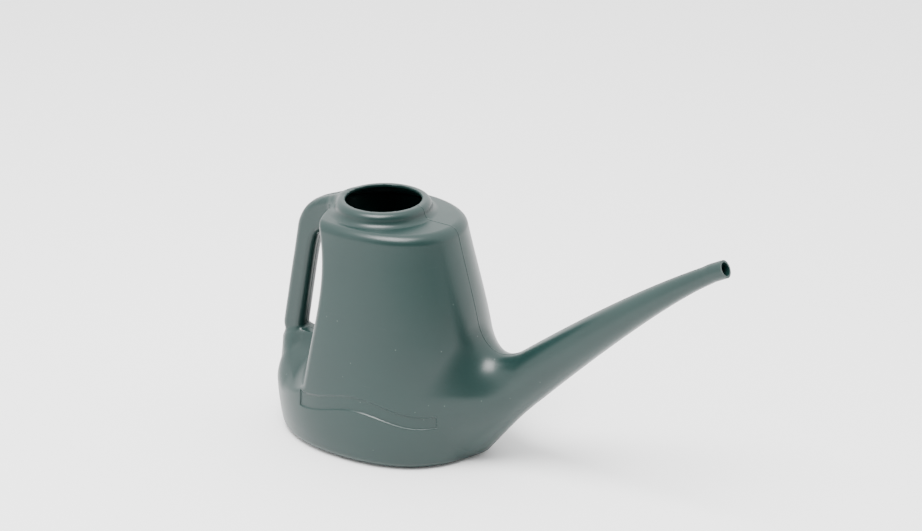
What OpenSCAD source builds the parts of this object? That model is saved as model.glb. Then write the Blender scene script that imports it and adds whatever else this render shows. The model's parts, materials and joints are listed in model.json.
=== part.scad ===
// Small indoor watering can, blow moulded in one piece in dark green polyethylene.
// Millimetres, +Z up. The origin is where the axis of the filling mouth meets the floor,
// +X points to the spout, and the can is the same on both sides of Y = 0.
// The moulding is divided into its regions, which meet face to face on flat cuts.

/* [Tank] */
// Half length of the tank at its fullest
tank_a = 88; // [85:0.5:92]
// Half width of the tank at its fullest
tank_b = 67; // [62:0.2:72]
// Height of the flat top of the shoulder
shoulder_z = 178; // [174:0.5:182]
// Thickness of the moulded wall
wall = 1.6; // [1.2:0.1:2.4]
// Squareness of the body's oval section, 2 is a true ellipse
oval = 2.2; // [2:0.05:2.6]

/* [Neck] */
// Radius of the clear opening of the mouth
mouth_r = 28.3; // [24:0.1:32]
// Outer radius of the rounded collar
collar_r = 35.6; // [32:0.1:38]
// Radius where the collar's sweep meets the shoulder
collar_foot_r = 40.4; // [39:0.1:43]
// Height of the top of the lip
lip_z = 187.5; // [185:0.1:192]

/* [Handle] */
// Thickness of the grip, front to back
grip_depth = 17; // [15:0.5:21]
// Width of the grip, side to side
grip_width = 16; // [13:0.5:20]
// How far the grip leans back for each millimetre down
grip_lean = 0.197; // [0.15:0.002:0.22]
// Depth of the finger recess at the top, behind the neck axis
recess_x = 35.6; // [33:0.2:38]

/* [Spout] */
// Outer radius of the spout where it leaves its root
spout_r = 18.4; // [16:0.2:20]
// Outer radius of the straight tip that a rose pushes onto
tip_r = 6.4; // [5.5:0.1:7.5]
// Length of the straight tip
tip_length = 14; // [12:0.5:18]

/* [Side panels] */
// Depth of the wave shaped panels below the tank's surface
panel_depth = 1; // [0.6:0.1:1.4]
// Height of the hump in the wave
wave_height = 9.4; // [6:0.2:11]
// Height of the wave's foot above the floor
wave_z = 34.4; // [32:0.2:38]

/* [Hidden] */

green = "#51635f";
// Larger than the part, for cuts that run right through it.
far = 300;
// Facets around the body, and around the spout and the handle.
body_sides = 72;
round_sides = 32;
// Thickness of the plates that the hulls join.
skin = 0.02;

// The flat cuts between the regions.
heel_z = 12;
belt_z = 66;
cone_z = 158;
crotch_z = 108;
root_x = 80;
arm_x = -41;
arm_z = 140;
grip_x = -59;
foot_x = -64;
foot_z = 36;
foot_half = 26;
// Half sizes of the base plate inside the heel.
plate_a = 75;
plate_b = 55;

// The body's outline from the floor up: height, share of tank_a, share of tank_b.
body_line = [
    [0, 0.891, 0.875], [0.9, 0.925, 0.92], [3.6, 0.955, 0.958],
    [12, 0.968, 0.982], [22, 0.984, 1], [37, 0.995, 0.996], [52, 1, 0.97], [67, 0.994, 0.942],
    [82, 0.977, 0.91], [98, 0.945, 0.879], [114, 0.905, 0.845], [129, 0.859, 0.812],
    [142, 0.82, 0.784], [156, 0.778, 0.76], [164, 0.756, 0.749],
    [171.5, 0.734, 0.737], [175.4, 0.711, 0.713], [177.4, 0.682, 0.675], [178, 0.639, 0.621]];

// The finger recess: height, how far its wall lies behind recess_x, half width of the middle web.
recess_line = [
    [41.5, 22, 62], [44, 21, 46], [48, 19.5, 32], [53, 18, 21], [58, 16.5, 14.5],
    [63, 15.5, 10.5], [65.6, 15, 8.6], [66.4, 14.6, -2], [78, 12.4, -2], [90, 9.8, -2],
    [102, 7, -2], [114, 4.4, -2], [126, 1.8, -2], [138, 0.4, -2], [150, 0, -2],
    [162, 0.8, -2], [172, 2.4, -2], [190, 4, -2]];
recess_bow = 180;
recess_steps = 8;
recess_edge_y = 76;
recess_back_x = -120;

// The flared root of the spout: x, z, lean of the section, half height, half width.
root_line = [
    [58, 51, 92, 39, 38], [80, 55, 95, 44, 34], [93, 59.5, 100, 38.4, 29],
    [104, 64.4, 106, 31, 24.6], [114, 68.8, 116, 23.8, 21],
    [126, 74.8, 132, spout_r - 0.3, spout_r - 0.3]];

// The spout's centre line is a curve pulled towards its middle point.
spout_start = [126, 74.8];
spout_pull = [226.8, 166.2];
tip_end = [273.5, 191];
spout_steps = 10;
// Above one, the spout thins sooner than a plain cone does.
thinning = 1.36;
// Shares of the curve at which the spout starts inside its root, is cut from it, and is cut in two.
hidden_share = -0.08;
root_share = 0.03;
split_share = 0.45;

// The handle as pairs of points, on its outer and its inner line, with the half width there.
half_grip = grip_width / 2;
bend_line = [
    [[-28, 184.2], [-28, 152.5], half_grip + 2.5], [[-38, 183.4], [-38, 152.5], half_grip + 1.5],
    [[-47, 181.1], [-46.5, 152.4], half_grip + 0.6], [[-55, 178], [-52.5, 151.8], half_grip],
    [[-62.3, 173.8], [-56.4, 150.2], half_grip], [[-68.2, 168], [-58.4, 147.6], half_grip],
    [[-71.8, 161.4], [-59.4, 144.6], half_grip], [[-74.3, 154.6], [-59.3, 141.4], half_grip]];
foot_line = [
    [[-92.2, 62], [-74.6, 60.4], half_grip + 1.8], [[-92.7, 57], [-72, 55], half_grip + 3.4],
    [[-92.6, 51], [-69, 49], half_grip + 5.6], [[-91.4, 44], [-66, 43], half_grip + 8],
    [[-88.6, 37.5], [-62, 37], half_grip + 11], [[-86.2, 32], [-60, 32], half_grip + 14]];
grip_top = [-75.2, 150.8];
grip_levels = [147, 138, 120, 100, 80, 70, 65.5];
handle_square = 3.2;

// The side panels: middle and half length of the hump, ends, facets, height and its taper.
wave_x = 15;
wave_half = 50;
wave_from = -37;
wave_to = 71.6;
wave_steps = 24;
band = 12.4;
band_taper = 0.02;

// The collar: round of the lip, length of the mouth's bore, and the sweep up from the shoulder.
lip_round = 4.6;
mouth_length = 3.4;
sweep_r = collar_foot_r - collar_r;

function oval_point(a, b, power, turn) = [
    a * sign(cos(turn)) * pow(abs(cos(turn)), 2 / power),
    b * sign(sin(turn)) * pow(abs(sin(turn)), 2 / power)];

function oval_ring(a, b, power, sides) =
    [for (i = [0:sides - 1]) oval_point(a, b, power, 360 * i / sides)];

// A closed solid through rings that all have the same number of points.
module loft(rings) {
    sides = len(rings[0]);
    last = len(rings) - 1;
    points = [for (ring = rings) for (point = ring) point];
    bottom = [for (i = [0:sides - 1]) i];
    top = [for (i = [sides - 1:-1:0]) last * sides + i];
    walls = [for (j = [0:last - 1]) for (i = [0:sides - 1]) for (half = [0, 1])
        half == 0
            ? [j * sides + i, (j + 1) * sides + i, (j + 1) * sides + (i + 1) % sides]
            : [j * sides + i, (j + 1) * sides + (i + 1) % sides, j * sides + (i + 1) % sides]];
    polyhedron(points = points, faces = concat([bottom], [top], walls), convexity = 6);
}

// The body without its recess, with its surface moved inwards by inset.
module body_solid(inset) {
    loft([for (level = body_line)
        let (z = min(max(level[0], inset), shoulder_z - inset))
        [for (point = oval_ring(level[1] * tank_a - inset, level[2] * tank_b - inset, oval, body_sides))
            [point.x, point.y, z]]]);
}

function recess_wall(y, behind, inset) = -recess_x - behind + y * y / recess_bow + inset;

// One side of the finger recess, grown by inset.
module recess_side(inset) {
    loft([for (level = recess_line)
        let (web = max(level[2] - inset, -2))
        concat(
            [for (i = [0:recess_steps])
                let (y = web + (recess_edge_y - web) * i / recess_steps)
                [recess_wall(y, level[1], inset), y, level[0] - inset]],
            [[recess_back_x, recess_edge_y, level[0] - inset], [recess_back_x, web, level[0] - inset]])]);
}

module recess(inset) {
    recess_side(inset);
    mirror([0, 1, 0]) recess_side(inset);
}

// An oval ring in a plane square to Y = 0, where across is the way from its lower to its upper edge.
function leaning_ring(x, z, across, half, half_width, power) =
    [for (point = oval_ring(half, half_width, power, round_sides))
        [x + point.x * cos(across), point.y, z + point.x * sin(across)]];

// A thin plate on such a ring.
module root_section(at, inset) {
    translate([at[0], 0, at[1]])
        rotate([0, -at[2], 0])
            translate([0, 0, -skin / 2])
                linear_extrude(skin)
                    polygon(oval_ring(at[3] - inset, at[4] - inset, 2, round_sides));
}

module root_solid(inset) {
    for (i = [0:len(root_line) - 2])
        hull() {
            root_section(root_line[i], inset);
            root_section(root_line[i + 1], inset);
        }
}

function spout_point(t) =
    (1 - t) * (1 - t) * spout_start + 2 * t * (1 - t) * spout_pull + t * t * tip_end;
function spout_way(t) = 2 * (1 - t) * (spout_pull - spout_start) + 2 * t * (tip_end - spout_pull);
function rise(way) = atan2(way.y, way.x);

tip_rise = rise(spout_way(1));
tip_way = [cos(tip_rise), sin(tip_rise)];
tip_start = tip_end - tip_length * tip_way;
// The curved part of the spout ends where the straight tip begins.
curve_share = 1 - tip_length / norm(spout_way(1));

// The curved spout, which starts a little inside its root.
module spout_solid(inset) {
    last = inset > 0 ? spout_steps - 1 : spout_steps;
    loft(concat(
        [spout_ring(hidden_share, inset)],
        [for (i = [0:last]) spout_ring(i / spout_steps, inset)],
        inset > 0 ? [open_end_ring(inset)] : []));
}

// The hollow runs on past the end of the curved spout, into the straight tip.
function open_end_ring(inset) =
    let (at = tip_start + tip_way)
    leaning_ring(at.x, at.y, tip_rise - 90, tip_r - inset, tip_r - inset, 2);

function spout_ring(share, inset) =
    let (t = share * curve_share,
         at = share == 1 ? tip_start : spout_point(t),
         across = (share == 1 ? tip_rise : rise(spout_way(t))) - 90,
         r = tip_r + (spout_r - tip_r) * pow(1 - max(share, 0), thinning) - inset)
    leaning_ring(at.x, at.y, across, r, r, 2);

function grip_station(z) =
    let (outer = [grip_top.x - (grip_top.y - z) * grip_lean, z],
         along = [1, -grip_lean] / norm([1, grip_lean]))
    [outer, outer + grip_depth * along, half_grip];

handle_line = concat(bend_line, [for (z = grip_levels) grip_station(z)], foot_line);

function handle_ring(at, inset) =
    let (middle = (at[0] + at[1]) / 2, span = at[0] - at[1])
    leaning_ring(middle.x, middle.y, rise(span), norm(span) / 2 - inset, at[2] - inset, handle_square);

module handle_solid(inset) {
    loft([for (at = handle_line) handle_ring(at, inset)]);
}

// The whole closed form with its surface moved inwards by inset.
module form(inset) {
    difference() {
        body_solid(inset);
        recess(inset);
    }
    root_solid(inset);
    spout_solid(inset);
    handle_solid(inset);
}

// The hollow moulding, open at the mouth, the tip and the base plate.
module moulding() {
    difference() {
        form(0);
        form(wall);
        translate([0, 0, shoulder_z - 2 * wall]) cylinder(h = far, r = collar_foot_r - 2 * wall, $fn = 96);
        base_prism();
        rotate_extrude($fn = 96)
            intersection() {
                offset(delta = 0.05) collar_profile();
                translate([0, shoulder_z]) square(far);
            }
    }
}

module base_prism() {
    linear_extrude(wall)
        polygon(oval_ring(plate_a, plate_b, oval, body_sides));
}

module slab(z0, z1) {
    translate([-far, -far, z0]) cube([2 * far, 2 * far, z1 - z0]);
}

// All that lies beyond the plane square to the spout at a point of its centre line.
module beyond(at, tilt) {
    translate([at.x, 0, at.y])
        rotate([0, -tilt, 0])
            translate([0, -far / 2, -far / 4]) cube([far, far, far / 2]);
}

module spout_cell() {
    beyond_share(root_share);
}

module beyond_share(share) {
    t = share * curve_share;
    beyond(spout_point(t), rise(spout_way(t)));
}

module root_cell() {
    difference() {
        translate([root_x, -far / 2, heel_z]) cube([far, far, crotch_z - heel_z]);
        spout_cell();
    }
}

module arm_cell() {
    translate([arm_x - far, -far / 2, arm_z]) cube([far, far, far]);
}

module grip_cell() {
    translate([grip_x - far, -far / 2, belt_z]) cube([far, far, arm_z - belt_z]);
}

module foot_cell() {
    translate([foot_x - far, -foot_half, foot_z]) cube([far, 2 * foot_half, belt_z - foot_z]);
}

function wave(x) = abs(x - wave_x) < wave_half
    ? wave_height * pow(cos(90 * (x - wave_x) / wave_half), 2)
    : 0;

// The outline of a side panel, carried through the tank from side to side.
module wave_prism() {
    xs = [for (i = [0:wave_steps]) wave_from + (wave_to - wave_from) * i / wave_steps];
    rotate([90, 0, 0])
        linear_extrude(far, center = true)
            polygon(concat(
                [for (x = xs) [x, wave_z + wave(x)]],
                [for (i = [wave_steps:-1:0]) let (x = xs[i]) [x, wave_z + wave(x) + band - band_taper * x]]));
}

module wave_panel(side) {
    color(green)
        intersection() {
            difference() {
                form(panel_depth);
                form(panel_depth + wall);
            }
            wave_prism();
            translate([-far / 2, side > 0 ? 0 : -far, 0]) cube([far, far, far]);
        }
}

module base_plate() {
    color(green) base_prism();
}

module heel() {
    color(green)
        intersection() {
            moulding();
            slab(0, heel_z);
        }
}

module tank_wall() {
    color(green)
        difference() {
            intersection() {
                moulding();
                slab(heel_z, belt_z);
            }
            root_cell();
            spout_cell();
            foot_cell();
            wave_prism();
        }
}

module body_cone() {
    color(green)
        difference() {
            intersection() {
                moulding();
                slab(belt_z, cone_z);
            }
            root_cell();
            grip_cell();
            arm_cell();
            spout_cell();
        }
}

module shoulder() {
    color(green)
        difference() {
            intersection() {
                moulding();
                slab(cone_z, far);
            }
            arm_cell();
            spout_cell();
        }
}

// The collar: a sweep up from the shoulder and a rounded lip, hollow below the mouth's bore.
module neck_collar() {
    color(green)
        rotate_extrude($fn = 96)
            difference() {
                collar_profile();
                translate([-1, shoulder_z - 1]) square([mouth_r + 1, far]);
                translate([0, shoulder_z - 1])
                    square([collar_r - wall, lip_z - mouth_length - shoulder_z + 1]);
            }
}

module collar_profile() {
    translate([0, shoulder_z]) square([collar_r, lip_z - lip_round - shoulder_z]);
    translate([0, lip_z - lip_round]) square([collar_r - lip_round, lip_round]);
    translate([collar_r - lip_round, lip_z - lip_round]) circle(lip_round, $fn = 64);
    difference() {
        translate([0, shoulder_z]) square([collar_foot_r, sweep_r]);
        translate([collar_foot_r, shoulder_z + sweep_r]) circle(sweep_r, $fn = 64);
    }
}

module handle_arm() {
    color(green)
        intersection() {
            moulding();
            arm_cell();
        }
}

module handle_grip() {
    color(green)
        intersection() {
            moulding();
            grip_cell();
        }
}

module handle_foot() {
    color(green)
        intersection() {
            moulding();
            foot_cell();
        }
}

module spout_root() {
    color(green)
        intersection() {
            moulding();
            root_cell();
        }
}

module spout_lower() {
    color(green)
        difference() {
            intersection() {
                moulding();
                spout_cell();
            }
            beyond_share(split_share);
        }
}

module spout_upper() {
    color(green)
        intersection() {
            moulding();
            beyond_share(split_share);
        }
}

module spout_tip() {
    color(green)
        translate([tip_start.x, 0, tip_start.y])
            rotate([0, 90 - tip_rise, 0])
                difference() {
                    cylinder(h = tip_length, r = tip_r, $fn = 64);
                    translate([0, 0, -1]) cylinder(h = tip_length + 2, r = tip_r - wall, $fn = 64);
                }
}

base_plate();
heel();
tank_wall();
wave_panel(1);  // wave_panel_left
wave_panel(-1);  // wave_panel_right
body_cone();
shoulder();
neck_collar();
handle_arm();
handle_grip();
handle_foot();
spout_root();
spout_lower();
spout_upper();
spout_tip();
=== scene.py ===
"""A small indoor watering can, blown in one piece in dark green polyethylene.

The can is one hollow moulding. A rough can is lofted from rings and joined, its skin is settled onto
the smooth, filleted form that each sub-assembly describes, and the skin is then divided on flat cuts
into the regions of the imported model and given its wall. Lengths are in millimetres until a mesh is
written, and metres after that.
"""

import json
import logging
import math
from collections.abc import Callable, Sequence
from dataclasses import dataclass, field
from enum import Enum

import bpy
import numpy as np
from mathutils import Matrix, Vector

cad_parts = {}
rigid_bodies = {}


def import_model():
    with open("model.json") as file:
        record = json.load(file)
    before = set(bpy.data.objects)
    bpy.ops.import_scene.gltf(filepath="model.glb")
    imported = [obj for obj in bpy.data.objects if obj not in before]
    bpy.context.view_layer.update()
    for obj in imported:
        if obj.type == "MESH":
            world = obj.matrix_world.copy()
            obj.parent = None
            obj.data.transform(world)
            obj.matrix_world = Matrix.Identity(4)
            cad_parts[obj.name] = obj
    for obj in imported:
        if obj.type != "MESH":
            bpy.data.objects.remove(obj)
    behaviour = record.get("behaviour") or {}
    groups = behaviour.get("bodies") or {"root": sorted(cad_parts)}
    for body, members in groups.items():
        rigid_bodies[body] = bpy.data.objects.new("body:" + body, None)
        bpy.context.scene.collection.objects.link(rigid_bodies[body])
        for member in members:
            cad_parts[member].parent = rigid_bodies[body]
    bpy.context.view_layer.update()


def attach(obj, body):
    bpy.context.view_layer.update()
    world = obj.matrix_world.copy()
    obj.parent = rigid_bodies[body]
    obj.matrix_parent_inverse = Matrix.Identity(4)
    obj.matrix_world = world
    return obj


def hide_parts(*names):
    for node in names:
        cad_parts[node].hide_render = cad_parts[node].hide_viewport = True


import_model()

MM = 0.001
SIDES = 72
LOG = logging.getLogger("watering_can")
Points = np.ndarray
Test = Callable[[Points], np.ndarray]


class Region(Enum):
    """The regions of the moulding: each piece's name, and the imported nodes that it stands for."""

    BASE = ("can_base", ("base_plate", "heel"))
    TANK = ("can_tank", ("tank_wall",))
    PANEL_LEFT = ("can_wave_panel_left", ("wave_panel_left",))
    PANEL_RIGHT = ("can_wave_panel_right", ("wave_panel_right",))
    CONE = ("can_cone", ("body_cone",))
    SHOULDER = ("can_shoulder", ("shoulder",))
    NECK = ("can_neck", ("neck_collar",))
    ARM = ("can_handle_arm", ("handle_arm",))
    GRIP = ("can_handle_grip", ("handle_grip",))
    FOOT = ("can_handle_foot", ("handle_foot",))
    ROOT = ("can_spout_root", ("spout_root",))
    LOWER = ("can_spout_lower", ("spout_lower",))
    UPPER = ("can_spout_upper", ("spout_upper",))
    TIP = ("can_spout_tip", ("spout_tip",))
    OFFCUT = ("", ())


def linear(hex_colour: str) -> tuple[float, float, float, float]:
    """Turns an sRGB hex colour into the linear colour that a shader takes.

    Args:
        hex_colour: Six hex digits after a hash.

    Returns:
        Linear red, green, blue and an alpha of one.
    """
    values = [int(hex_colour[i:i + 2], 16) / 255 for i in (1, 3, 5)]
    rgb = [v / 12.92 if v <= 0.04045 else ((v + 0.055) / 1.055) ** 2.4 for v in values]
    return (rgb[0], rgb[1], rgb[2], 1.0)


def joined(a: np.ndarray, b: np.ndarray, radius: np.ndarray | float) -> np.ndarray:
    """Distance to the union of two forms, with a fillet of the given radius in the corner.

    Args:
        a: Signed distances from the first form.
        b: Signed distances from the second form.
        radius: The fillet's radius, one for all places or one for each.

    Returns:
        Signed distances from the joined form.
    """
    corner = np.hypot(np.maximum(radius - a, 0), np.maximum(radius - b, 0))
    return np.maximum(np.minimum(a, b), radius) - corner


def shared(a: np.ndarray, b: np.ndarray, radius: np.ndarray | float) -> np.ndarray:
    """Distance to what two forms share, with the edge rounded to the given radius.

    Args:
        a: Signed distances from the first form.
        b: Signed distances from the second form.
        radius: The rounding's radius, one for all places or one for each.

    Returns:
        Signed distances from the shared form.
    """
    edge = np.hypot(np.maximum(a + radius, 0), np.maximum(b + radius, 0))
    return np.minimum(np.maximum(a, b), -radius) + edge


def blend(value: np.ndarray, low: float, high: float) -> np.ndarray:
    """Goes smoothly from 0 at low to 1 at high.

    Args:
        value: Where to read the step.
        low: The value up to which the step is 0.
        high: The value from which the step is 1.

    Returns:
        The step's height at each value.
    """
    t = np.clip((value - low) / (high - low), 0, 1)
    return t * t * (3 - 2 * t)


@dataclass
class Profile:
    """A smooth curve through a few levels, such as the half width of the tank over its height."""

    levels: Sequence[float]
    values: Sequence[float]
    order: int = 5

    def __post_init__(self) -> None:
        """Fits the curve once."""
        self.curve = np.polynomial.Polynomial.fit(self.levels, self.values, self.order)
        self.slope_curve = self.curve.deriv()

    def at(self, level: np.ndarray) -> np.ndarray:
        """The value at a level, held still past the ends."""
        return self.curve(np.clip(level, self.levels[0], self.levels[-1]))

    def slope(self, level: np.ndarray) -> np.ndarray:
        """The change of the value for each millimetre of level."""
        inside = (level > self.levels[0]) & (level < self.levels[-1])
        return np.where(inside, self.slope_curve(level), 0.0)


@dataclass
class Ring:
    """One oval ring of a rough loft: its middle in the plane Y = 0, its lean and its two half sizes."""

    x: float
    z: float
    lean: float
    half: float
    half_width: float


def deselect() -> None:
    """Leaves nothing selected, so that an operator acts only on what is added next."""
    if bpy.context.object and bpy.context.object.mode != "OBJECT":
        bpy.ops.object.mode_set(mode="OBJECT")
    bpy.ops.object.select_all(action="DESELECT")


def pick(piece: bpy.types.Object) -> None:
    """Selects one object and makes it the active one."""
    deselect()
    piece.select_set(True)
    bpy.context.view_layer.objects.active = piece


def freeze(piece: bpy.types.Object) -> None:
    """Moves an object's place into its mesh."""
    pick(piece)
    bpy.ops.object.transform_apply(location=True, rotation=True, scale=True)


def apply_modifier(piece: bpy.types.Object, kind: str, **settings: object) -> None:
    """Adds a modifier, sets it and applies it.

    Args:
        piece: The object to change.
        kind: The modifier's type, as Blender names it.
        settings: The modifier's own settings.
    """
    pick(piece)
    modifier = piece.modifiers.new(kind.title(), kind)
    for name, value in settings.items():
        setattr(modifier, name, value)
    bpy.ops.object.modifier_apply(modifier=modifier.name)


def loft(name: str, rings: Sequence[Ring], sides: int) -> bpy.types.Object:
    """Bridges a row of oval rings into a closed skin.

    Args:
        name: The new object's name.
        rings: The rings in order.
        sides: Points on each ring.

    Returns:
        The lofted object, at the origin.
    """
    deselect()
    for i, ring in enumerate(rings):
        place = (ring.x * MM, 0, ring.z * MM)
        bpy.ops.mesh.primitive_circle_add(vertices=sides, radius=ring.half * MM, location=place,
                                          rotation=(0, math.radians(ring.lean), 0))
        if i == 0:
            freeze(bpy.context.object)
            bpy.ops.object.mode_set(mode="EDIT")
        bpy.ops.transform.resize(value=(1, ring.half_width / ring.half, 1), center_override=place)
    bpy.ops.mesh.select_all(action="SELECT")
    bpy.ops.mesh.bridge_edge_loops()
    bpy.ops.mesh.select_all(action="DESELECT")
    bpy.ops.mesh.select_non_manifold()
    bpy.ops.mesh.fill_holes(sides=0)
    bpy.ops.mesh.select_all(action="SELECT")
    bpy.ops.mesh.normals_make_consistent(inside=False)
    bpy.ops.object.mode_set(mode="OBJECT")
    piece = bpy.context.object
    piece.name = name
    return piece


def merge(piece: bpy.types.Object, other: bpy.types.Object, operation: str) -> None:
    """Joins another closed form to a piece, or cuts it away, and removes that other form.

    Args:
        piece: The piece that changes.
        other: The closed form that is used up.
        operation: UNION or DIFFERENCE.
    """
    apply_modifier(piece, "BOOLEAN", operation=operation, object=other, solver="EXACT")
    bpy.data.objects.remove(other)


@dataclass
class Tank:
    """The oval tank and the cone above it, up to the flat of the shoulder."""

    squareness: float = 2.2
    top: float = 178.3
    top_fall: float = 0.04
    top_flat: float = 38.0
    shoulder_round: float = 6.2
    length: Profile = field(default_factory=lambda: Profile(
        (0, 12, 22, 37, 52, 67, 82, 98, 114, 129, 142, 156, 164, 182),
        (82.4, 84.6, 85.8, 87, 87.6, 87.4, 86, 83.2, 79.6, 75.6, 72.3, 68.6, 66.5, 62)))
    width: Profile = field(default_factory=lambda: Profile(
        (0, 12, 22, 37, 52, 67, 82, 98, 114, 129, 142, 156, 164, 182),
        (63.6, 66, 66.9, 66.6, 65, 63.1, 61, 58.9, 56.6, 54.4, 52.5, 50.9, 50, 48.4)))

    def rough(self) -> bpy.types.Object:
        """The closed tank as a loft of ten ovals."""
        levels = (0, 8, 22, 45, 70, 95, 120, 145, 170, self.top)
        return loft("rough_tank", [
            Ring(0, z, 0, float(self.length.at(np.array(z))), float(self.width.at(np.array(z))))
            for z in levels], SIDES)

    def wall(self, p: Points) -> np.ndarray:
        """Distance from the side wall, taken as running on past the floor and the shoulder.

        Args:
            p: Points in millimetres.

        Returns:
            Signed distances from the wall.
        """
        x, y, z = np.abs(p[:, 0]), np.abs(p[:, 1]), p[:, 2]
        a, b, n = self.length.at(z), self.width.at(z), self.squareness
        u, v = np.maximum(x / a, 1e-6), np.maximum(y / b, 1e-6)
        g = (u ** n + v ** n) ** (1 / n)
        gx = (u / g) ** (n - 1) / a
        gy = (v / g) ** (n - 1) / b
        gz = g * ((u / g) ** n * self.length.slope(z) / a + (v / g) ** n * self.width.slope(z) / b)
        return (g - 1) / np.maximum(np.sqrt(gx * gx + gy * gy + gz * gz), 2e-3)

    def shoulder(self, p: Points) -> np.ndarray:
        """Distance above the shoulder, which falls a little towards its edge."""
        reach = np.hypot(p[:, 0], p[:, 1])
        return p[:, 2] - self.top + self.top_fall * np.maximum(reach - self.top_flat, 0)

    def field(self, p: Points) -> np.ndarray:
        """Signed distance from the tank's own skin."""
        return shared(self.wall(p), self.shoulder(p), self.shoulder_round)


@dataclass
class Neck:
    """The collar and the rounded lip around the filling mouth."""

    mouth: float = 28.3
    collar: float = 35.6
    lip: float = 187.5
    lip_round: float = 5.0
    edge_round: float = 0.45
    sweep: float = 5.2
    foot: float = 171.0
    pocket: float = 183.0
    open_below: float = 185.7
    drum: float = 24.0
    cutter: float = 20.0

    def rough(self) -> bpy.types.Object:
        """The collar as a short plain drum; the pocket in its top is cut later with the pocket cutter."""
        middle = self.lip - self.drum / 2
        deselect()
        bpy.ops.mesh.primitive_cylinder_add(vertices=SIDES, radius=self.collar * MM,
                                            depth=self.drum * MM, location=(0, 0, middle * MM))
        drum = bpy.context.object
        freeze(drum)
        return drum

    def pocket_cutter(self) -> bpy.types.Object:
        """The drum that hollows the mouth."""
        deselect()
        bpy.ops.mesh.primitive_cylinder_add(vertices=SIDES, radius=self.mouth * MM, depth=self.cutter * MM,
                                            location=(0, 0, (self.pocket + self.cutter / 2) * MM))
        drum = bpy.context.object
        freeze(drum)
        return drum

    def field(self, p: Points) -> np.ndarray:
        """Signed distance from the collar, without its mouth."""
        reach = np.hypot(p[:, 0], p[:, 1])
        drum = shared(reach - self.collar, p[:, 2] - self.lip, self.lip_round)
        return np.maximum(drum, self.foot - p[:, 2])

    def fillet(self, p: Points) -> np.ndarray:
        """Radius of the sweep out of the shoulder, which fades out below it."""
        return self.sweep * blend(p[:, 2], self.foot, self.foot + 6)

    def opening(self, p: Points) -> np.ndarray:
        """Signed distance from the pocket of the mouth, negative in its space."""
        reach = np.hypot(p[:, 0], p[:, 1])
        return np.maximum(reach - self.mouth, self.pocket - p[:, 2])


@dataclass
class FingerRecess:
    """The bite behind the neck that leaves room for four fingers around the grip."""

    front: float = 35.6
    bow: float = 180.0
    deck: float = 40.6
    web_rise: float = 25.8
    web_half: float = 7.0
    web_spread: float = 12.0
    web_power: float = 1.25
    floor_round: float = 8.0
    edge_round: float = 2.2
    rim_round: float = 10.0
    rim_span: tuple[float, float] = (40.0, 62.0)
    block_at: tuple[float, float] = (-92.0, 128.0)
    block_size: tuple[float, float, float] = (100.0, 170.0, 144.0)
    behind: Profile = field(default_factory=lambda: Profile(
        (34, 41.5, 54, 66, 78, 90, 102, 114, 126, 138, 150, 162, 172, 190),
        (24.5, 22, 18.4, 15.2, 12.4, 9.8, 7, 4.4, 2, 0.6, 0.1, 0.8, 2.4, 6)))

    def cutter(self) -> bpy.types.Object:
        """A rough block that clears the recess."""
        deselect()
        x, z = self.block_at
        bpy.ops.mesh.primitive_cube_add(size=MM, location=(x * MM, 0, z * MM), scale=self.block_size)
        block = bpy.context.object
        freeze(block)
        return block

    def field(self, p: Points) -> np.ndarray:
        """Signed distance from the recess, negative in its space.

        Args:
            p: Points in millimetres.

        Returns:
            Signed distances from the recess.
        """
        x, y, z = p[:, 0], np.abs(p[:, 1]), p[:, 2]
        wall_x = -self.front - self.behind.at(z) + y * y / self.bow
        tilt = np.sqrt(1 + (2 * y / self.bow) ** 2 + self.behind.slope(z) ** 2)
        wall = (x - wall_x) / tilt
        out = np.maximum(y - self.web_half, 0) / self.web_spread
        hump = 1 + out ** self.web_power
        deck_z = self.deck + self.web_rise / hump
        fall = self.web_rise * self.web_power * out ** (self.web_power - 1) / (self.web_spread * hump ** 2)
        floor = (deck_z - z) / np.sqrt(1 + fall * fall)
        return shared(wall, floor, self.floor_round)

    def edge(self, p: Points) -> np.ndarray:
        """Radius of the recess's edge: crisp on the body, soft around the tank's back."""
        return self.edge_round + (self.rim_round - self.edge_round) * blend(-p[:, 0], *self.rim_span)


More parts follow.
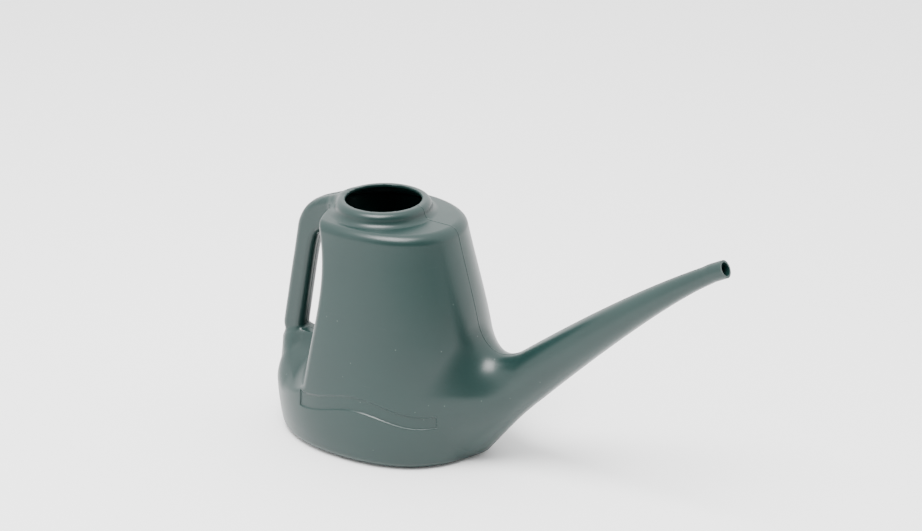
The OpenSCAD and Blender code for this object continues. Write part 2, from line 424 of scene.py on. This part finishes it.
@dataclass
class Path:
    """A smooth way in the plane Y = 0 that carries a half thickness and a half width along it."""

    stations: Sequence[tuple[float, float, float, float]]
    steps: int = 8

    def __post_init__(self) -> None:
        """Draws the smooth way through the stations once."""
        knots = np.array(self.stations, float)
        first, last = 2 * knots[0] - knots[1], 2 * knots[-1] - knots[-2]
        k = np.vstack([first, knots, last])
        t = np.linspace(0, 1, self.steps, endpoint=False)[:, None]
        rows = []
        for a, b, c, d in zip(k, k[1:], k[2:], k[3:]):
            rows.append(0.5 * (2 * b + (c - a) * t + (2 * a - 5 * b + 4 * c - d) * t ** 2
                               + (3 * b - a - 3 * c + d) * t ** 3))
        self.line = np.vstack([*rows, knots[-1:]])

    def nearest(self, p: Points) -> tuple[np.ndarray, np.ndarray, np.ndarray]:
        """The nearest place on the way.

        Args:
            p: Points in millimetres.

        Returns:
            The distance in the plane Y = 0, and the half thickness and half width there.
        """
        start, step = self.line[:-1], np.diff(self.line, axis=0)
        q = p[:, None, [0, 2]] - start[None, :, :2]
        square = (step[:, :2] ** 2).sum(1)
        t = np.clip((q * step[None, :, :2]).sum(2) / square, 0, 1)
        off = q - t[:, :, None] * step[None, :, :2]
        distance = (off ** 2).sum(2)
        best = distance.argmin(1)
        rows = np.arange(len(p))
        share = t[rows, best]
        half = start[best, 2] + share * step[best, 2]
        wide = start[best, 3] + share * step[best, 3]
        return np.sqrt(distance[rows, best]), half, wide

    def rings(self, every: int) -> list[Ring]:
        """Rough rings square to the way, one for each so many drawn points.

        Args:
            every: How many drawn points lie between two rings.

        Returns:
            The rings in order.
        """
        places = list(range(0, len(self.line), every))
        rings = []
        for i in places:
            a, b = self.line[max(i - 1, 0)], self.line[min(i + 1, len(self.line) - 1)]
            lean = math.degrees(math.atan2(b[0] - a[0], b[1] - a[1]))
            x, z, half, wide = self.line[i]
            rings.append(Ring(x, z, lean, half, wide))
        return rings


@dataclass
class Handle:
    """The hollow handle: an arm off the shoulder, a bend, a leaning grip and a flared foot."""

    corner: float = 5.6
    foot_corner: float = 9.0
    arm_fillet: float = 8.0
    foot_fillet: float = 8.0
    crease: float = 2.4
    foot_top: float = 64.0
    foot_top_round: float = 7.0
    crease_span: tuple[float, float] = (90.0, 130.0)
    lean: float = 0.184
    grip: Path = field(default_factory=lambda: Path((
        (-22, 168.6, 16, 10.5), (-34, 168.3, 15.8, 9.6), (-43, 167.2, 14.8, 8.8),
        (-51.5, 165.2, 13.2, 8.2), (-58.6, 161.6, 11.6, 8), (-64.4, 154.6, 10, 8),
        (-67.6, 145, 8.9, 8), (-70.4, 132, 8.6, 8), (-74.4, 112, 8.7, 8), (-78.2, 92, 8.8, 8),
        (-81.4, 75, 8.9, 8), (-82.6, 67, 8.8, 8), (-82.6, 60, 7.2, 7), (-81.6, 54, 6, 6))))
    foot: Path = field(default_factory=lambda: Path((
        (-82.6, 67, 9.5, 9.4), (-82, 60, 10, 10), (-80.4, 52, 11.2, 11.4),
        (-77.4, 43, 12.6, 13.8), (-73.2, 34, 12.6, 17), (-70, 26, 12, 19))))

    def rough(self) -> bpy.types.Object:
        """The grip as a loft of ovals."""
        return loft("rough_grip", self.grip.rings(6), 24)

    def rough_foot(self) -> bpy.types.Object:
        """The foot as a loft of ovals."""
        return loft("rough_foot", self.foot.rings(6), 24)

    def grip_field(self, p: Points) -> np.ndarray:
        """Signed distance from the arm and the grip."""
        off, half, wide = self.grip.nearest(p)
        return shared(off - half, np.abs(p[:, 1]) - wide, self.corner)

    def fillet(self, p: Points) -> np.ndarray:
        """Radius of the corner at the grip: a crease at the foot, soft at the arm."""
        return self.crease + (self.arm_fillet - self.crease) * blend(p[:, 2], *self.crease_span)

    def foot_field(self, p: Points) -> np.ndarray:
        """Signed distance from the flared foot, cut square below the grip.

        Args:
            p: Points in millimetres.

        Returns:
            Signed distances from the foot.
        """
        off, half, wide = self.foot.nearest(p)
        body = shared(off - half, np.abs(p[:, 1]) - wide, self.foot_corner)
        above = (p[:, 2] - self.foot_top - self.lean * (p[:, 0] + 83)) / math.hypot(1, self.lean)
        return shared(body, above, self.foot_top_round)


@dataclass
class Spout:
    """The tapered spout: a cone out of the tank's front that arches over to a straight tip."""

    start: tuple[float, float] = (126.0, 74.8)
    pull: tuple[float, float] = (226.8, 166.2)
    end: tuple[float, float] = (273.5, 191.0)
    root_radius: float = 18.4
    tip_radius: float = 6.38
    tip_length: float = 14.0
    root: Sequence[tuple[float, float]] = ((-74, 28.2), (-52, 24.4), (-32, 21.2), (-16, 19.5))
    thinning: float = 1.36
    steps: int = 12
    run_on: float = 12.0
    crotch_fillet: float = 35.0
    keel_fillet: float = 4.0
    fillet_span: tuple[float, float] = (12.0, 62.0)

    def __post_init__(self) -> None:
        """Lays the centre line out once."""
        a, b, c = (np.array(v) for v in (self.start, self.pull, self.end))
        way = (b - a) / np.linalg.norm(b - a)
        self.tip_way = (c - b) / np.linalg.norm(c - b)
        self.share = 1 - self.tip_length / (2 * np.linalg.norm(c - b))
        rows = [(*(a + way * s), r, r) for s, r in self.root]
        for i in range(self.steps + 1):
            t = self.share * i / self.steps
            at = (1 - t) ** 2 * a + 2 * t * (1 - t) * b + t * t * c
            r = self.tip_radius + (self.root_radius - self.tip_radius) * (1 - i / self.steps) ** self.thinning
            rows.append((*at, r, r))
        for past in (-10.5, -7, -3.5, 0, 4, 8, self.run_on):
            rows.append((*(c + self.tip_way * past), self.tip_radius, self.tip_radius))
        self.path = Path(tuple(tuple(float(v) for v in row) for row in rows), steps=6)

    def rough(self) -> bpy.types.Object:
        """The spout as a loft of circles."""
        return loft("rough_spout", self.path.rings(5), 32)

    def field(self, p: Points) -> np.ndarray:
        """Signed distance from the spout's skin."""
        off, half, _ = self.path.nearest(p)
        return np.hypot(off, p[:, 1]) - half

    def fillet(self, p: Points) -> np.ndarray:
        """Radius of the blend into the tank: wide above and at the flanks, tight at the keel."""
        rise = blend(p[:, 2], *self.fillet_span)
        return self.keel_fillet + (self.crotch_fillet - self.keel_fillet) * rise


@dataclass
class WavePanel:
    """The shallow wave shaped recess low on each side of the tank."""

    left: float = -37.0
    right: float = 71.6
    foot: float = 34.4
    hump: float = 9.4
    crest: float = 15.0
    reach: float = 50.0
    band: float = 12.4
    taper: float = 0.02
    depth: float = 1.0
    ledge: float = 0.9
    soft: float = 0.4
    near: float = 25.0

    def wave(self, x: np.ndarray) -> np.ndarray:
        """Height of the lower edge over the floor."""
        turn = np.clip((x - self.crest) / self.reach, -1, 1) * math.pi / 2
        return self.foot + self.hump * np.cos(turn) ** 2

    def outline(self, p: Points) -> np.ndarray:
        """Signed distance from the panel's outline, negative in the panel.

        Args:
            p: Points in millimetres.

        Returns:
            Signed distances from the outline, large across the middle of the tank.
        """
        x, z = p[:, 0], p[:, 2]
        low = self.wave(x)
        turn = np.clip((x - self.crest) / self.reach, -1, 1) * math.pi
        slope = self.hump * math.pi / (2 * self.reach) * np.sin(turn)
        level = 1 / np.sqrt(1 + slope * slope)
        high = low + self.band - self.taper * x
        rows = np.stack([self.left - x, x - self.right, (low - z) * level, (z - high) * level])
        return np.where(np.abs(p[:, 1]) > self.near, rows.max(0), 99.0)

    def sink(self, p: Points) -> np.ndarray:
        """How far the skin is sunk, from nothing at the outline to the panel's full depth.

        Args:
            p: Points in millimetres.

        Returns:
            Depths in millimetres.
        """
        x, z = p[:, 0], p[:, 2]
        upper = z > self.wave(x) + self.band / 2
        inward = -self.outline(p) * np.where(upper & (x > self.left + 3) & (x < self.right - 3), self.soft, 1)
        return self.depth * blend(inward, 0, self.ledge)


@dataclass(frozen=True)
class Plane:
    """A flat cut: a point on it in millimetres, its normal, and the reach of X that it acts in."""

    at: tuple[float, float, float]
    normal: tuple[float, float, float]
    reach: tuple[float, float] = (-400.0, 400.0)

    def ahead(self, p: Points) -> np.ndarray:
        """Whether points lie on the side that the normal looks to."""
        return (p - np.array(self.at)) @ np.array(self.normal) > 0


@dataclass
class Moulding:
    """The whole blown can: its form, its skin, its regions and its parting line."""

    tank: Tank = field(default_factory=Tank)
    neck: Neck = field(default_factory=Neck)
    recess: FingerRecess = field(default_factory=FingerRecess)
    handle: Handle = field(default_factory=Handle)
    spout: Spout = field(default_factory=Spout)
    panel: WavePanel = field(default_factory=WavePanel)
    wall: float = 1.6
    coarse: float = 3.0
    fine: float = 1.15
    floor_round: float = 6.2
    toe_sharper: float = 3.0
    toe_span: tuple[float, float] = (66.0, 88.0)
    seam: float = 0.36
    seam_sunk: float = 0.12
    seam_back: float = 0.6
    seam_from: float = 3.0
    seam_weld: float = 0.2
    weld: float = 0.004
    front: float = 80.0
    sharp: float = 40.0
    agree: float = 0.75
    edge_reach: float = 2.0
    lip_from: float = 180.4

    def __post_init__(self) -> None:
        """Sets the flat cuts out once."""
        s = self.spout
        a, b, c = (np.array(v) for v in (s.start, s.pull, s.end))

        def square(t: float, back: float = 0.0) -> Plane:
            """A cut square to the spout, at a share of its centre line and so far back from there."""
            at = (1 - t) ** 2 * a + 2 * t * (1 - t) * b + t * t * c
            way = 2 * (1 - t) * (b - a) + 2 * t * (c - b)
            way = way / np.linalg.norm(way)
            at = at - way * back
            return Plane((at[0], 0, at[1]), (way[0], 0, way[1]), (self.front, 400))

        up, rear = (0, 0, 1), (-400, -30)
        self.planes = {
            "heel": Plane((0, 0, 12), up), "belt": Plane((0, 0, 66), up, (-400, self.front)),
            "cone": Plane((0, 0, 158), up, (-400, self.front)), "collar": Plane((0, 0, 178.8), up, (-45, 60)),
            "front": Plane((self.front, 0, 0), (1, 0, 0)), "bend": Plane((0, 0, 140), up, rear),
            "arm": Plane((-41, 0, 0), (1, 0, 0)), "grip": Plane((-59, 0, 0), (1, 0, 0)),
            "foot": Plane((-64, 0, 0), (1, 0, 0)), "foot_low": Plane((0, 0, 36), up, rear),
            "foot_left": Plane((0, 26, 0), (0, 1, 0), rear),
            "foot_right": Plane((0, -26, 0), (0, -1, 0), rear),
            "root": square(0.03 * s.share), "middle": square(0.45 * s.share),
            "tip": square(1.0, s.tip_length), "end": square(1.0)}

    def region_of(self, p: Points) -> np.ndarray:
        """The region that each place belongs to, as its number in the list of regions.

        Args:
            p: Points in millimetres.

        Returns:
            The numbers of the regions.
        """
        on = {name: plane.ahead(p) for name, plane in self.planes.items()}
        left = p[:, 1] > 0
        low, high = on["heel"] & ~on["belt"], on["belt"]
        foot = ~on["foot"] & on["foot_low"] & ~on["foot_left"] & ~on["foot_right"]
        panel = low & (self.panel.outline(p) < 0) & (p[:, 0] < self.front)
        spout = on["front"] & on["heel"]
        order = list(Region)
        tests = (
            (~on["heel"], Region.BASE), (spout & on["end"], Region.OFFCUT),
            (spout & on["tip"], Region.TIP), (spout & on["middle"], Region.UPPER),
            (spout & on["root"], Region.LOWER), (spout, Region.ROOT), (low & foot, Region.FOOT),
            (panel & left, Region.PANEL_LEFT), (panel, Region.PANEL_RIGHT), (low, Region.TANK),
            (on["bend"] & ~on["arm"], Region.ARM), (~on["grip"] & ~on["bend"], Region.GRIP),
            (high & ~on["cone"], Region.CONE), (on["collar"], Region.NECK))
        return np.select([test for test, _ in tests], [order.index(region) for _, region in tests],
                         order.index(Region.SHOULDER))

    def body_field(self, p: Points) -> np.ndarray:
        """Signed distance from the tank and cone with the finger recess taken out.

        Args:
            p: Points in millimetres.

        Returns:
            Signed distances from the body.
        """
        body = self.tank.field(p)
        behind = p[:, 0] < 10
        if behind.any():
            q = p[behind]
            body[behind] = shared(body[behind], -self.recess.field(q), self.recess.edge(q))
        return body

    def form(self, p: Points) -> np.ndarray:
        """Signed distance from the whole closed form, in millimetres.

        Args:
            p: Points in millimetres.

        Returns:
            Signed distances from the form.
        """
        d = self.body_field(p)
        front = p[:, 0] > 50
        if front.any():
            q = p[front]
            d[front] = joined(d[front], self.spout.field(q), self.spout.fillet(q))
        back = (p[:, 0] < -20) & (np.abs(p[:, 1]) < 42)
        if back.any():
            q = p[back]
            foot = joined(d[back], self.handle.foot_field(q), self.handle.foot_fillet)
            grip = self.handle.grip_field(q)
            d[back] = joined(foot, grip, self.handle.fillet(q))
        d = shared(d, -p[:, 2], self.floor_round - self.toe_sharper * blend(p[:, 0], *self.toe_span))
        top = p[:, 2] > 165
        if top.any():
            q = p[top]
            collar = joined(d[top], self.neck.field(q), self.neck.fillet(q))
            d[top] = shared(collar, -self.neck.opening(q), self.neck.edge_round)
        low = (p[:, 2] > 30) & (p[:, 2] < 62)
        if low.any():
            d[low] = d[low] + self.panel.sink(p[low])
        return d

    def slope(self, p: Points) -> Points:
        """The gradient of the form's distance, which is close to a unit vector near the skin.

        Args:
            p: Points in millimetres.

        Returns:
            One gradient for each point.
        """
        corners = np.array([[1, -1, -1], [-1, -1, 1], [-1, 1, -1], [1, 1, 1]], float)
        step = 0.05
        g = sum(c * self.form(p + step * c)[:, None] for c in corners) / (4 * step)
        return g

    def settle(self, skin: bpy.types.Object, rounds: int, ease: int) -> None:
        """Moves a skin's points onto the form and evens out their spacing.

        Args:
            skin: The object whose points move.
            rounds: How many times the points are moved onto the form.
            ease: In how many of those rounds the spacing is evened out first.
        """
        mesh = skin.data
        p = np.empty(len(mesh.vertices) * 3)
        mesh.vertices.foreach_get("co", p)
        p = p.reshape(-1, 3) / MM
        ends = np.empty(len(mesh.edges) * 2, int)
        mesh.edges.foreach_get("vertices", ends)
        a, b = ends.reshape(-1, 2).T
        count = np.bincount(a, minlength=len(p)) + np.bincount(b, minlength=len(p))
        for i in range(rounds):
            g = self.slope(p)
            square = np.maximum((g * g).sum(1), 0.05)
            if i < ease:
                total = np.stack([np.bincount(a, p[b, k], len(p)) + np.bincount(b, p[a, k], len(p))
                                  for k in range(3)], 1)
                pull = total / np.maximum(count, 1)[:, None] - p
                pull -= g * ((pull * g).sum(1) / square)[:, None]
                p += 0.5 * pull
            step = np.clip(self.form(p) / square, -4, 4)
            p -= g * step[:, None]
        mesh.vertices.foreach_set("co", (p * MM).ravel())
        mesh.update()

    def refine(self, skin: bpy.types.Object, near: Test, cuts: int) -> None:
        """Divides the faces of a skin whose middles a test picks out.

        Args:
            skin: The skin to divide.
            near: The test on the faces' middles, in millimetres.
            cuts: How many cuts each edge gets.
        """
        self.choose(skin, near)
        bpy.ops.mesh.subdivide(number_cuts=cuts)
        bpy.ops.object.mode_set(mode="OBJECT")

    def skin(self) -> bpy.types.Object:
        """Builds the closed outer skin of the whole can.

        Returns:
            The skin, settled on the form.
        """
        skin = self.tank.rough()
        merge(skin, self.recess.cutter(), "DIFFERENCE")
        for part in (self.neck.rough(), self.spout.rough(), self.handle.rough(), self.handle.rough_foot()):
            merge(skin, part, "UNION")
        merge(skin, self.neck.pocket_cutter(), "DIFFERENCE")
        apply_modifier(skin, "REMESH", mode="VOXEL", voxel_size=self.coarse * MM)
        self.settle(skin, 12, 8)
        apply_modifier(skin, "REMESH", mode="VOXEL", voxel_size=self.fine * MM)
        self.settle(skin, 5, 3)
        self.refine(skin, lambda p: np.abs(self.panel.outline(p)) < self.edge_reach, 2)
        self.refine(skin, lambda p: p[:, 2] > self.lip_from, 1)
        self.settle(skin, 3, 0)
        skin.name = "skin"
        return skin

    def open_mouth(self, skin: bpy.types.Object) -> None:
        """Cuts the pocket's floor away, so that the mouth is open.

        Args:
            skin: The whole skin.
        """
        neck = self.neck
        self.choose(skin, lambda p: (np.hypot(p[:, 0], p[:, 1]) < neck.mouth + 1)
                    & (p[:, 2] > neck.pocket - 3))
        bpy.ops.mesh.bisect(plane_co=(0, 0, neck.open_below * MM), plane_no=(0, 0, 1), clear_inner=True)
        bpy.ops.object.mode_set(mode="OBJECT")

    def choose(self, piece: bpy.types.Object, test: Test) -> None:
        """Opens a piece for editing with just the faces selected whose middles pass a test.

        Args:
            piece: The piece to open.
            test: The test on the faces' middles, in millimetres.
        """
        mesh = piece.data
        middles = np.empty(len(mesh.polygons) * 3)
        mesh.polygons.foreach_get("center", middles)
        chosen = test(middles.reshape(-1, 3) / MM)
        pick(piece)
        bpy.ops.object.mode_set(mode="EDIT")
        bpy.ops.mesh.select_mode(type="FACE")
        bpy.ops.mesh.select_all(action="DESELECT")
        bpy.ops.object.mode_set(mode="OBJECT")
        mesh.polygons.foreach_set("select", chosen)
        bpy.ops.object.mode_set(mode="EDIT")

    def divide(self, skin: bpy.types.Object) -> dict[Region, bpy.types.Object]:
        """Cuts the skin on every plane and parts it into its regions.

        Args:
            skin: The whole skin, which is used up.

        Returns:
            One open skin for each region.
        """
        for plane in self.planes.values():
            low, high = plane.reach
            self.choose(skin, lambda p: (p[:, 0] > low - 1) & (p[:, 0] < high + 1))
            bpy.ops.mesh.bisect(plane_co=Vector(plane.at) * MM, plane_no=plane.normal)
            bpy.ops.object.mode_set(mode="OBJECT")
        pieces = {}
        for number, region in enumerate(Region):
            self.choose(skin, lambda p: self.region_of(p) == number)
            before = set(bpy.data.objects)
            bpy.ops.mesh.separate(type="SELECTED")
            bpy.ops.object.mode_set(mode="OBJECT")
            part = (set(bpy.data.objects) - before).pop()
            part.name = region.value[0] or "offcut"
            pieces[region] = part
        bpy.data.objects.remove(pieces.pop(Region.OFFCUT))
        bpy.data.objects.remove(skin)
        return pieces

    def thicken(self, piece: bpy.types.Object) -> None:
        """Gives a region its wall, and the form's own normals, so that the regions meet unseen.

        Args:
            piece: The region's open skin.
        """
        pick(piece)
        bpy.ops.object.mode_set(mode="EDIT")
        bpy.ops.mesh.select_mode(type="VERT")
        bpy.ops.mesh.select_all(action="SELECT")
        bpy.ops.mesh.remove_doubles(threshold=self.weld * MM)
        bpy.ops.object.mode_set(mode="OBJECT")
        count = len(piece.data.vertices)
        apply_modifier(piece, "SOLIDIFY", thickness=self.wall * MM, offset=-1)
        mesh = piece.data
        co = np.empty(len(mesh.vertices) * 3)
        mesh.vertices.foreach_get("co", co)
        co = co.reshape(-1, 3)
        outer = co[:count] / MM
        g = self.slope(outer)
        g /= np.maximum(np.linalg.norm(g, axis=1), 1e-6)[:, None]
        co[count:2 * count] = (outer - self.wall * g) * MM
        mesh.vertices.foreach_set("co", co.ravel())
        mesh.update()
        pick(piece)
        bpy.ops.object.shade_smooth_by_angle(angle=math.radians(self.sharp))
        corner = np.empty(len(mesh.loops) * 3)
        mesh.corner_normals.foreach_get("vector", corner)
        corner = corner.reshape(-1, 3)
        at = np.empty(len(mesh.loops), int)
        mesh.loops.foreach_get("vertex_index", at)
        wanted = np.vstack([g, -g, np.zeros((len(co) - 2 * count, 3))])[at]
        use = (corner * wanted).sum(1) > self.agree
        corner[use] = wanted[use]
        mesh.normals_split_custom_set(corner.tolist())

    def drop_mouth(self, line: bpy.types.Object) -> None:
        """Takes the parting line out of the mouth's bore and off the top of its lip.

        Args:
            line: The flat outline that becomes the parting line.
        """
        mesh = line.data
        co = np.empty(len(mesh.vertices) * 3)
        mesh.vertices.foreach_get("co", co)
        p = co.reshape(-1, 3) / MM
        reach = np.hypot(p[:, 0], p[:, 1])
        mesh.vertices.foreach_set("select", (reach < self.neck.mouth + 1) & (p[:, 2] > self.neck.pocket - 2))
        bpy.ops.object.mode_set(mode="EDIT")
        bpy.ops.mesh.delete(type="VERT")
        bpy.ops.object.mode_set(mode="OBJECT")

    def parting_line(self, skin: bpy.types.Object) -> bpy.types.Object:
        """The fine ridge that the mould leaves where its halves meet, all round the plane Y = 0.

        Args:
            skin: The whole skin, which stays as it is.

        Returns:
            The ridge as a closed mesh.
        """
        line = skin.copy()
        line.data = skin.data.copy()
        line.name = "parting_line"
        bpy.context.scene.collection.objects.link(line)
        pick(line)
        end = self.planes["end"]
        place = Vector(end.at) - Vector(end.normal) * self.seam_back
        cuts = ((place, end.normal, False, True),
                (Vector((0, 0, self.seam_from)), (0, 0, 1), True, False),
                (Vector((0, 0, 0)), (0, 1, 0), True, True))
        bpy.ops.object.mode_set(mode="EDIT")
        for at, normal, inner, outer in cuts:
            bpy.ops.mesh.select_all(action="SELECT")
            bpy.ops.mesh.bisect(plane_co=at * MM, plane_no=normal, clear_inner=inner, clear_outer=outer)
        bpy.ops.mesh.select_mode(type="VERT")
        bpy.ops.mesh.select_all(action="SELECT")
        bpy.ops.mesh.remove_doubles(threshold=self.seam_weld * MM)
        bpy.ops.mesh.select_all(action="DESELECT")
        bpy.ops.object.mode_set(mode="OBJECT")
        self.drop_mouth(line)
        mesh = line.data
        co = np.empty(len(mesh.vertices) * 3)
        mesh.vertices.foreach_get("co", co)
        p = co.reshape(-1, 3) / MM
        g = self.slope(p)
        g /= np.maximum(np.linalg.norm(g, axis=1), 1e-6)[:, None]
        g[:, 1] = 0
        mesh.vertices.foreach_set("co", ((p - g * self.seam_sunk) * MM).ravel())
        pick(line)
        bpy.ops.object.convert(target="CURVE")
        line = bpy.context.object
        line.data.bevel_depth = self.seam * MM
        line.data.bevel_resolution = 1
        line.data.use_fill_caps = True
        bpy.ops.object.convert(target="MESH")
        line = bpy.context.object
        bpy.ops.object.shade_smooth()
        return line


@dataclass(frozen=True)
class BlownPolyethylene:
    """High-density polyethylene, blow moulded against a fine-blasted steel mould.

    The eye gets a deep slate green with a soft, broad gloss, a faint unevenness of the blown wall,
    a fine grain from the mould, and the light scuffs that a soft plastic collects.
    """

    name: str = "blown_polyethylene"
    colour: str = "#102624"
    pale: str = "#142e2b"
    scuff: str = "#66736f"
    roughness: float = 0.33
    scuffed_roughness: float = 0.5
    scuff_strength: float = 0.3
    ior: float = 1.51
    gloss: float = 0.42

    def build(self) -> bpy.types.Material:
        """Makes the material's nodes.

        Returns:
            The finished material.
        """
        material = bpy.data.materials.new(self.name)
        material.use_nodes = True
        tree = material.node_tree
        shader = tree.nodes["Principled BSDF"]
        shader.inputs["IOR"].default_value = self.ior
        shader.inputs["Specular IOR Level"].default_value = self.gloss
        place = add(tree, "ShaderNodeTexCoord").outputs["Object"]

        # The pigment is not quite even over 60 mm or so.
        cloud = add(tree, "ShaderNodeTexNoise", {"Scale": 1 / 0.06, "Detail": 3.0, "Roughness": 0.55},
                    Vector=place)
        tone = add(tree, "ShaderNodeMix", {"data_type": "RGBA"}, Factor=cloud.outputs["Fac"])
        tone.inputs["A"].default_value = linear(self.colour)
        tone.inputs["B"].default_value = linear(self.pale)

        # Scuffs: short, thin and nearly level, a millimetre or less across.
        stretch = add(tree, "ShaderNodeMapping", {"Scale": (9, 9, 420)}, Vector=place)
        streak = add(tree, "ShaderNodeTexNoise", {"Scale": 3.0, "Detail": 6.0, "Roughness": 0.7},
                     Vector=stretch.outputs["Vector"])
        thin = add(tree, "ShaderNodeMapRange", {"From Min": 0.68, "From Max": 0.78},
                   Value=streak.outputs["Fac"])
        specks = add(tree, "ShaderNodeTexVoronoi", {"Scale": 1 / 0.011}, Vector=place)
        dot = add(tree, "ShaderNodeMapRange", {"From Min": 0.06, "From Max": 0.03},
                  Value=specks.outputs["Distance"])
        marks = add(tree, "ShaderNodeMath", {"operation": "MAXIMUM"},
                    **{"0": thin.outputs["Result"], "1": dot.outputs["Result"]})
        weak = add(tree, "ShaderNodeMath", {"operation": "MULTIPLY", "1": self.scuff_strength},
                   **{"0": marks.outputs["Value"]})
        worn = add(tree, "ShaderNodeMix", {"data_type": "RGBA"}, Factor=weak.outputs["Value"],
                   A=tone.outputs["Result"])
        worn.inputs["B"].default_value = linear(self.scuff)
        tree.links.new(worn.outputs["Result"], shader.inputs["Base Color"])

        rough = add(tree, "ShaderNodeMapRange",
                    {"To Min": self.roughness, "To Max": self.scuffed_roughness},
                    Value=weak.outputs["Value"])
        tree.links.new(rough.outputs["Result"], shader.inputs["Roughness"])

        # A fine grain of about 0.9 mm, over broad waves of the blown wall about 28 mm long.
        grain = add(tree, "ShaderNodeTexNoise", {"Scale": 1 / 0.0009, "Detail": 2.0}, Vector=place)
        wave = add(tree, "ShaderNodeTexNoise", {"Scale": 1 / 0.028, "Detail": 1.0}, Vector=place)
        fine = add(tree, "ShaderNodeBump", {"Strength": 0.12, "Distance": 0.0001},
                   Height=grain.outputs["Fac"])
        broad = add(tree, "ShaderNodeBump", {"Strength": 0.25, "Distance": 0.0006},
                    Height=wave.outputs["Fac"], Normal=fine.outputs["Normal"])
        tree.links.new(broad.outputs["Normal"], shader.inputs["Normal"])
        return material


def add(tree: bpy.types.NodeTree, kind: str, settings: dict[str, object] | None = None,
        **links: bpy.types.NodeSocket) -> bpy.types.Node:
    """Adds a node with its settings and its links.

    Args:
        tree: The tree to add to.
        kind: The node's type.
        settings: Values by the name of an input or of a property; a digit names an input's place.
        links: Sockets to link, by the name or the place of the input that each one feeds.

    Returns:
        The new node.
    """
    node = tree.nodes.new(kind)
    for name, value in (settings or {}).items():
        if hasattr(node, name) and name not in node.inputs:
            setattr(node, name, value)
        else:
            node.inputs[int(name) if name.isdigit() else name].default_value = value
    for name, socket in links.items():
        wanted = [node.inputs[int(name)]] if name.isdigit() else [
            s for s in node.inputs if s.name == name and s.enabled]
        tree.links.new(socket, wanted[0])
    return node


@dataclass
class Studio:
    """The pale floor, the soft light and the camera."""

    camera_at: tuple[float, float, float] = (0.77495, -1.1664, 0.72505)
    pitch: float = 67.086
    heading: float = 31.274
    lens: float = 79.747
    sensor: float = 36.0
    floor_half: float = 30.0
    floor_drop: float = 0.0002
    white: str = "#fbfbfb"
    dark_side: tuple[float, float, float] = (0.65, -0.72, 0.24)
    surround: float = 2.5
    shade: float = 0.38
    shade_from: float = 0.38
    shade_full: float = 0.9
    lamp_at: tuple[float, float, float] = (0.0, -0.65, 2.0)
    lamp_aim: tuple[float, float, float] = (0.05, 0.0, 0.1)
    lamp_size: float = 1.1
    lamp_watts: float = 85.0

    def floor(self) -> bpy.types.Object:
        """The plain pale floor.

        Returns:
            The floor, staged.
        """
        deselect()
        bpy.ops.mesh.primitive_plane_add(size=2 * self.floor_half, location=(0, 0, -self.floor_drop))
        floor = bpy.context.object
        floor.name = "floor"
        freeze(floor)
        material = bpy.data.materials.new("floor_paper")
        material.use_nodes = True
        shader = material.node_tree.nodes["Principled BSDF"]
        shader.inputs["Base Color"].default_value = linear(self.white)
        shader.inputs["Roughness"].default_value = 0.9
        floor.data.materials.append(material)
        return floor

    def light(self, name: str, at: tuple[float, float, float], size: float, watts: float) -> None:
        """Adds one soft square light that faces the can.

        Args:
            name: The lamp's name.
            at: Its place in metres.
            size: Its side in metres.
            watts: Its power.
        """
        deselect()
        bpy.ops.object.light_add(type="AREA", location=at)
        lamp = bpy.context.object
        lamp.name = name
        lamp.data.shape = "SQUARE"
        lamp.data.size = size
        lamp.data.energy = watts
        aim = Vector(self.lamp_aim) - Vector(at)
        lamp.rotation_euler = aim.to_track_quat("-Z", "Y").to_euler()

    def surroundings(self) -> None:
        """White all round, but dim towards the side that the camera looks from."""
        world = bpy.data.worlds.new("studio")
        world.use_nodes = True
        tree = world.node_tree
        way = add(tree, "ShaderNodeTexCoord").outputs["Generated"]
        facing = add(tree, "ShaderNodeVectorMath", {"operation": "DOT_PRODUCT", "1": self.dark_side},
                     **{"0": way})
        level = add(tree, "ShaderNodeMapRange",
                    {"interpolation_type": "SMOOTHSTEP", "From Min": self.shade_from,
                     "From Max": self.shade_full, "To Min": self.surround, "To Max": self.shade},
                    Value=facing.outputs["Value"])
        backing = tree.nodes["Background"]
        backing.inputs["Color"].default_value = (1, 1, 1, 1)
        tree.links.new(level.outputs["Result"], backing.inputs["Strength"])
        bpy.context.scene.world = world

    def build(self) -> None:
        """Sets the floor, the lights, the surroundings and the camera."""
        self.floor()
        self.surroundings()
        self.light("overhead", self.lamp_at, self.lamp_size, self.lamp_watts)
        data = bpy.data.cameras.new("camera")
        data.lens = self.lens
        data.sensor_width = self.sensor
        camera = bpy.data.objects.new("camera", data)
        camera.location = self.camera_at
        camera.rotation_euler = (math.radians(self.pitch), 0, math.radians(self.heading))
        bpy.context.scene.collection.objects.link(camera)
        bpy.context.scene.camera = camera


def main() -> None:
    """Builds the studio and the can, region by region."""
    logging.basicConfig(level=logging.INFO, format="%(name)s: %(message)s")
    Studio().build()
    moulding = Moulding()
    material = BlownPolyethylene().build()
    skin = moulding.skin()
    LOG.info("skin has %d faces", len(skin.data.polygons))
    moulding.open_mouth(skin)
    seam = moulding.parting_line(skin)
    pieces = [(seam, ())]
    for region, piece in moulding.divide(skin).items():
        moulding.thicken(piece)
        pieces.append((piece, region.value[1]))
    for piece, nodes in pieces:
        piece.data.materials.clear()
        piece.data.materials.append(material)
        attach(piece, "root")
        if nodes:
            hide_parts(*nodes)
        LOG.info("%s: %d faces", piece.name, len(piece.data.polygons))


if __name__ == "__main__":
    main()
